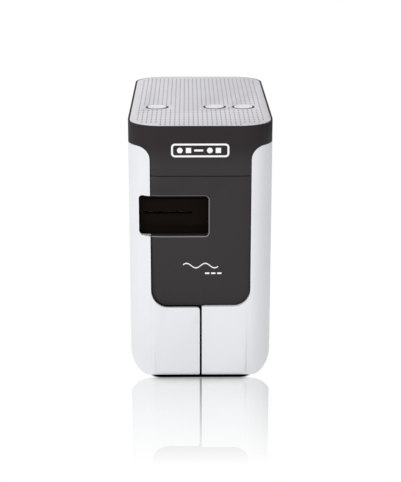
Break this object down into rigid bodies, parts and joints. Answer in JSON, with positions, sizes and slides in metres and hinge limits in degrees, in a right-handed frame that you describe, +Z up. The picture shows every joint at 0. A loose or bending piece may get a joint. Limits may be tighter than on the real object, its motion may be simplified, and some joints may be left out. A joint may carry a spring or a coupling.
{
  "type": "label maker",
  "caption": "Desktop label maker: upright case with a side cassette door, front label window, top buttons, a tape feed drive and a cutter.",
  "frame": {"origin": "on the ground under the middle of the case", "axes": "+Z up, -Y is the front where the label comes out, -X is the side of the cassette door"},
  "size_m": [0.078, 0.152, 0.1434],
  "materials": {
    "crown_black": "satin moulded",
    "panel_black": "satin moulded",
    "plate_silver": "fine satin with printed dots",
    "ring_black": "matte",
    "button_white": "satin",
    "shell_white": "smooth satin",
    "inner_grey": "moulded",
    "throat_black": "matte",
    "base_black": "textured",
    "frame_grey": "moulded",
    "gear_white": "moulded acetal",
    "cassette_grey": "moulded",
    "film_dark": "glossy film",
    "tape_white": "smooth",
    "circuit_green": "solder resist",
    "head_white": "glazed",
    "steel": "brushed",
    "spring_steel": "plated",
    "aluminium": "anodised",
    "cell": "printed sleeve",
    "brass": "machined",
    "rubber": "matte"
  },
  "bodies": {
    "case": {"top_cover": "crown_black", "front_panel": "panel_black", "rear_panel": "panel_black", "top_plate": "plate_silver", "button_rings": "ring_black", "right_shell": "shell_white", "rear_cover": "shell_white", "hinge_pin": "steel", "exit_chute": "throat_black", "base_plate": "base_black", "rubber_feet": "rubber", "case_screws": "steel", "batteries": "cell", "battery_contacts": "spring_steel", "main_frame": "frame_grey", "gear_bracket": "steel", "feed_motor": "steel", "holder_pin": "steel", "print_head": "head_white", "head_heatsink": "aluminium", "cutter_frame": "throat_black", "fixed_blade": "steel", "cutter_motor": "steel", "cassette_shell": "cassette_grey", "cassette_lid": "cassette_grey", "label_tape": "tape_white", "main_board": "circuit_green", "button_board": "circuit_green", "tact_switches": "ring_black", "board_components": "ring_black", "dc_jack": "ring_black", "usb_socket": "spring_steel"},
    "door": {"cassette_door": "shell_white", "door_liner": "inner_grey", "door_latch": "inner_grey"},
    "power_key": {"power_button": "button_white"},
    "mode_key": {"mode_button": "button_white"},
    "feed_key": {"feed_button": "button_white"},
    "battery_door": {"battery_cover": "base_black"},
    "holder": {"roller_holder": "frame_grey", "holder_spring": "spring_steel"},
    "platen": {"platen_shaft": "steel", "platen_roller": "rubber", "platen_gear": "gear_white"},
    "feeder": {"feed_shaft": "steel", "feed_roller": "rubber", "feed_gear": "gear_white"},
    "holder_idler": {"holder_gear": "gear_white"},
    "drive": {"drive_gear": "gear_white", "drive_axle": "steel"},
    "motor_rotor": {"motor_pinion": "brass"},
    "transfer": {"transfer_gear": "gear_white", "transfer_axle": "steel"},
    "ribbon_drive": {"ribbon_gear": "gear_white", "ribbon_spindle": "gear_white", "take_up_spool": "film_dark"},
    "roll": {"tape_roll": "tape_white"},
    "film": {"film_spool": "film_dark"},
    "blade": {"moving_blade": "steel"},
    "cutter_drive": {"cutter_pinion": "brass"}
  },
  "joints": [
    {"name": "door_hinge", "type": "hinge", "parent": "case", "child": "door", "pos_m": [-0.036, 0.0575, 0.07], "axis": [0, 0, -1], "range_deg": [0, 90]},
    {"name": "power_press", "type": "slide", "parent": "case", "child": "power_key", "axis": [0, 0, -1], "range_m": [0, 0.0007], "stiffness_N_per_m": 300},
    {"name": "mode_press", "type": "slide", "parent": "case", "child": "mode_key", "axis": [0, 0, -1], "range_m": [0, 0.0007], "stiffness_N_per_m": 300},
    {"name": "feed_press", "type": "slide", "parent": "case", "child": "feed_key", "axis": [0, 0, -1], "range_m": [0, 0.0007], "stiffness_N_per_m": 300},
    {"name": "battery_cover_hinge", "type": "hinge", "parent": "case", "child": "battery_door", "pos_m": [0, 0.052, 0.0017], "axis": [1, 0, 0], "range_deg": [0, 95]},
    {"name": "holder_pivot", "type": "hinge", "parent": "case", "child": "holder", "pos_m": [0, -0.012, 0.0887], "axis": [1, 0, 0], "range_deg": [0, 5], "stiffness_Nm_per_rad": 0.3, "springref_deg": -2.86},
    {"name": "drive_spin", "type": "hinge", "parent": "case", "child": "drive", "pos_m": [0.006, -0.042, 0.1007], "axis": [1, 0, 0], "continuous": true},
    {"name": "motor_spin", "type": "hinge", "parent": "case", "child": "motor_rotor", "pos_m": [0.006, -0.02696, 0.09523], "axis": [1, 0, 0], "continuous": true},
    {"name": "transfer_spin", "type": "hinge", "parent": "case", "child": "transfer", "pos_m": [0.006, -0.02809, 0.10443], "axis": [1, 0, 0], "continuous": true},
    {"name": "ribbon_spin", "type": "hinge", "parent": "case", "child": "ribbon_drive", "pos_m": [0.006, -0.01049, 0.10443], "axis": [1, 0, 0], "continuous": true},
    {"name": "platen_spin", "type": "hinge", "parent": "holder", "child": "platen", "pos_m": [0.006, -0.042, 0.0887], "axis": [1, 0, 0], "continuous": true},
    {"name": "feeder_spin", "type": "hinge", "parent": "holder", "child": "feeder", "pos_m": [0.006, -0.055, 0.0887], "axis": [1, 0, 0], "continuous": true},
    {"name": "holder_gear_spin", "type": "hinge", "parent": "holder", "child": "holder_idler", "pos_m": [0.006, -0.0485, 0.08164], "axis": [1, 0, 0], "continuous": true},
    {"name": "roll_spin", "type": "hinge", "parent": "case", "child": "roll", "pos_m": [0.006, 0.016, 0.082], "axis": [1, 0, 0], "continuous": true},
    {"name": "film_spin", "type": "hinge", "parent": "case", "child": "film", "pos_m": [0.006, -0.016, 0.072], "axis": [1, 0, 0], "continuous": true},
    {"name": "blade_pivot", "type": "hinge", "parent": "case", "child": "blade", "pos_m": [0.006, -0.0627, 0.086], "axis": [0, -1, 0], "range_deg": [0, 12]},
    {"name": "cutter_spin", "type": "hinge", "parent": "case", "child": "cutter_drive", "pos_m": [0.026, -0.0627, 0.086], "axis": [0, -1, 0], "range_deg": [-48, 0]}
  ],
  "couplings": [
    {"joint": "holder_pivot", "follows": "door_hinge", "ratio": 0.055556},
    {"joint": "motor_spin", "follows": "drive_spin", "ratio": -3},
    {"joint": "transfer_spin", "follows": "drive_spin", "ratio": -0.8},
    {"joint": "ribbon_spin", "follows": "drive_spin", "ratio": 0.66667},
    {"joint": "platen_spin", "follows": "drive_spin", "ratio": -1.1429},
    {"joint": "feeder_spin", "follows": "drive_spin", "ratio": -1.1429},
    {"joint": "holder_gear_spin", "follows": "drive_spin", "ratio": 1.6},
    {"joint": "roll_spin", "follows": "drive_spin", "ratio": -0.223},
    {"joint": "film_spin", "follows": "drive_spin", "ratio": -0.65306},
    {"joint": "cutter_spin", "follows": "blade_pivot", "ratio": -4}
  ]
}
